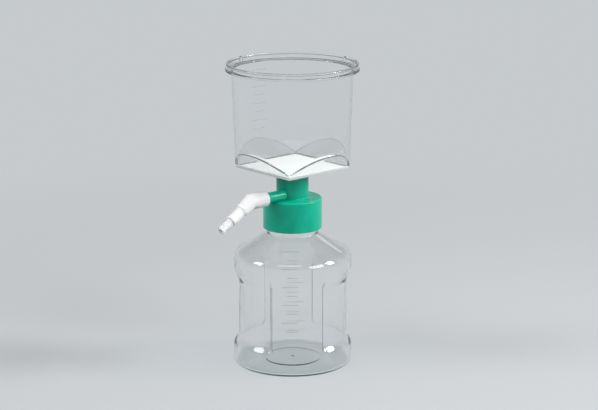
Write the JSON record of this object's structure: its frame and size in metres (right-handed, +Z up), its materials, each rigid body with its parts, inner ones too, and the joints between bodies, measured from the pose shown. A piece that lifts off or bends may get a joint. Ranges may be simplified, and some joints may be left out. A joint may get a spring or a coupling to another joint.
{
  "type": "vacuum filtration unit",
  "caption": "Vacuum filtration unit: clear filter funnel with a square membrane floor, green screw collar with side port and white hose elbow, on a clear receiver bottle with side grips.",
  "frame": {"origin": "on the bottle's axis at the level its foot ring stands on", "axes": "+Z up along the bottle's axis through the collar and the funnel; -X along the vacuum port; X and Y square to the sides of the funnel's floor; +Y completes the right-handed frame"},
  "size_m": [0.1366, 0.1102, 0.2537],
  "materials": {
    "clear_plastic": "glass-clear polystyrene, polished",
    "green_plastic": "satin green polypropylene",
    "white_plastic": "satin white polyethylene",
    "filter_membrane": "matt white microporous sheet",
    "elastomer": "matt pale sealing foam"
  },
  "bodies": {
    "bottle": {"receiver_bottle": "clear_plastic"},
    "gasket": {"collar_gasket": "elastomer"},
    "filter_top": {"filter_collar": "green_plastic", "base_plate": "clear_plastic", "membrane": "filter_membrane", "funnel_cup": "clear_plastic"},
    "connector": {"hose_connector": "white_plastic"}
  },
  "joints": [
    {"name": "collar_lift", "type": "slide", "parent": "bottle", "child": "gasket", "axis": [0, 0, 1], "range_m": [0, 0.006]},
    {"name": "collar_turn", "type": "hinge", "parent": "gasket", "child": "filter_top", "pos_m": [0, 0, 0.13716], "axis": [0, 0, 1], "range_deg": [0, 540]},
    {"name": "connector_swivel", "type": "hinge", "parent": "filter_top", "child": "connector", "pos_m": [-0.0324, -0.003, 0.14536], "axis": [-1, 0, 0], "continuous": true}
  ],
  "couplings": [
    {"joint": "collar_lift", "follows": "collar_turn", "m_per_rad": 0.00063661}
  ]
}
